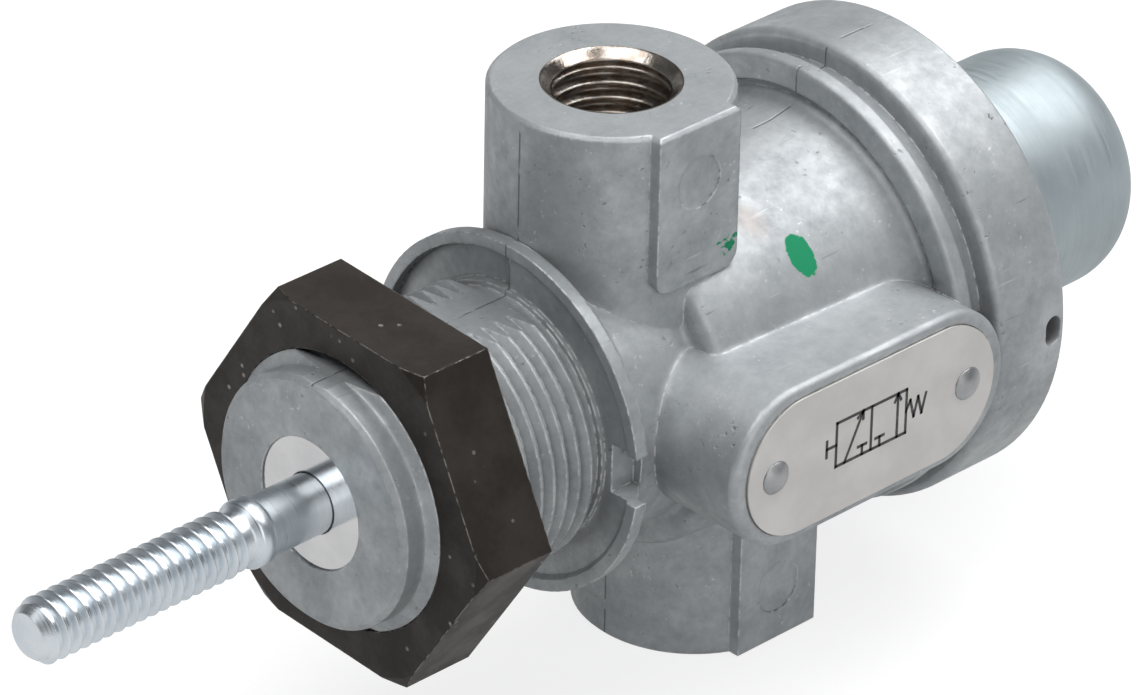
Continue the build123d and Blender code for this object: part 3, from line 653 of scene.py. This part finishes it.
# Nameplate
# Thin satin aluminium let into its boss and brushed along its length.
# Its edges are rubbed a little brighter.
aluminium_pale = (0.74, 0.725, 0.705, 1)
aluminium_dark = (0.66, 0.645, 0.625, 1)
rubbed_aluminium = (0.85, 0.85, 0.84, 1)
plate_finish, tree, surface = new_material("satin_aluminium")
place = place_of(tree)
wear = use(tree, edge_wear, Radius=0.00012, Breakup=1500.0, Amount=0.6)
along_plate = {"Vector": place, "Scale": (90.0, 90.0, 9000.0)}
brushed = noise_of(tree, add(tree, "ShaderNodeMapping", along_plate).outputs["Vector"], 1.0, 3.0)
cloud = step_of(tree, noise_of(tree, place, 240.0, 4.0), 0.3, 0.7)
colour = blend_of(tree, cloud, aluminium_dark, aluminium_pale)
colour = blend_of(tree, times(tree, wear["Mask"], 0.6), colour, rubbed_aluminium)
tree.links.new(colour, surface.inputs["Base Color"])
surface.inputs["Metallic"].default_value = 0.5
tree.links.new(step_of(tree, brushed, 0.3, 0.7, 0.36, 0.50), surface.inputs["Roughness"])
bump_of(tree, surface, brushed, 0.12, 0.00002, wear["Normal"])
dress(("nameplate",), plate_finish)

# Valve symbol
# It is printed on the plate in black: two squares side by side for the two positions, with flow arrows
# and closed ports in them, a push button at the left and a spring at the right.
ink_black = (0.040, 0.040, 0.042, 1)
ink_rubbed = (0.15, 0.15, 0.15, 1)
ink_front = -0.02402
ink_back = -0.02398
stroke_w = 0.00030
square = 0.0044
symbol_x = 0.0217
symbol_z = 0.0003
barb_length = 0.0008
barb_angle = math.radians(28)
port_mark_h = 0.0009
port_mark_half = 0.0005
button_out = 0.0012
button_half = 0.0008
zigzag_step = 0.0005
zigzag_half = 0.0009
ink_finish, tree, surface = new_material("plate_ink")
rubbed = noise_of(tree, place_of(tree), 1600.0, 4.0)
colour = blend_of(tree, step_of(tree, rubbed, 0.55, 0.75), ink_black, ink_rubbed)
tree.links.new(colour, surface.inputs["Base Color"])
tree.links.new(step_of(tree, rubbed, 0.3, 0.7, 0.35, 0.55), surface.inputs["Roughness"])
left_x = symbol_x - square
right_x = symbol_x + square
low_z = symbol_z - square / 2
high_z = symbol_z + square / 2
# The two squares
strokes = [((left_x, low_z), (right_x, low_z)), ((left_x, high_z), (right_x, high_z))]
strokes += [((x, low_z), (x, high_z)) for x in (left_x, symbol_x, right_x)]
# Flow paths: an arrow in each square, and a closed port beside each foot
for foot_x, head_x, closed_x in (
    (left_x + 0.25 * square, left_x + 0.75 * square, left_x + 0.75 * square),
    (symbol_x + 0.75 * square, symbol_x + 0.75 * square, symbol_x + 0.25 * square),
):
    foot = Vector((foot_x, low_z))
    head = Vector((head_x, high_z))
    along = (head - foot).normalized()
    strokes.append((foot, head))
    for side in (-1, 1):
        barb = Matrix.Rotation(side * barb_angle, 2) @ along
        strokes.append((head, head - barb_length * barb))
    mark_z = low_z + port_mark_h
    strokes.append(((closed_x, low_z), (closed_x, mark_z)))
    strokes.append(((closed_x - port_mark_half, mark_z), (closed_x + port_mark_half, mark_z)))
# Push button
button_x = left_x - button_out
strokes.append(((left_x, symbol_z), (button_x, symbol_z)))
strokes.append(((button_x, symbol_z - button_half), (button_x, symbol_z + button_half)))
# Spring
zigzag = [(right_x, symbol_z)]
for step in range(1, 6):
    side = 1 if step % 2 else -1
    zigzag.append((right_x + zigzag_step * step, symbol_z + side * zigzag_half))
strokes += zip(zigzag, zigzag[1:])
ink_mesh = bmesh.new()
for start, end in strokes:
    start, end = Vector(start), Vector(end)
    line = end - start
    middle = (start + end) / 2
    size = (line.length + stroke_w, ink_back - ink_front, stroke_w, 1)
    moved = Matrix.Translation((middle.x, (ink_front + ink_back) / 2, middle.y))
    turned = Matrix.Rotation(-math.atan2(line.y, line.x), 4, "Y")
    bmesh.ops.create_cube(ink_mesh, size=1, matrix=moved @ turned @ Matrix.Diagonal(size))
symbol = object_from("valve_symbol", ink_mesh)
symbol.data.materials.append(ink_finish)
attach(symbol, "valve_body")

# Drive rivets
# Two soft aluminium rivets with low heads, driven through the plate into the boss.
# Handling has dulled them.
dull_pale = (0.46, 0.47, 0.48, 1)
dull_dark = (0.34, 0.35, 0.36, 1)
rivet_finish = turned_metal("dull_aluminium", dull_pale, dull_dark, 0.42, 300.0, 0.00003)
dress(("front_rivet", "rear_rivet"), rivet_finish)
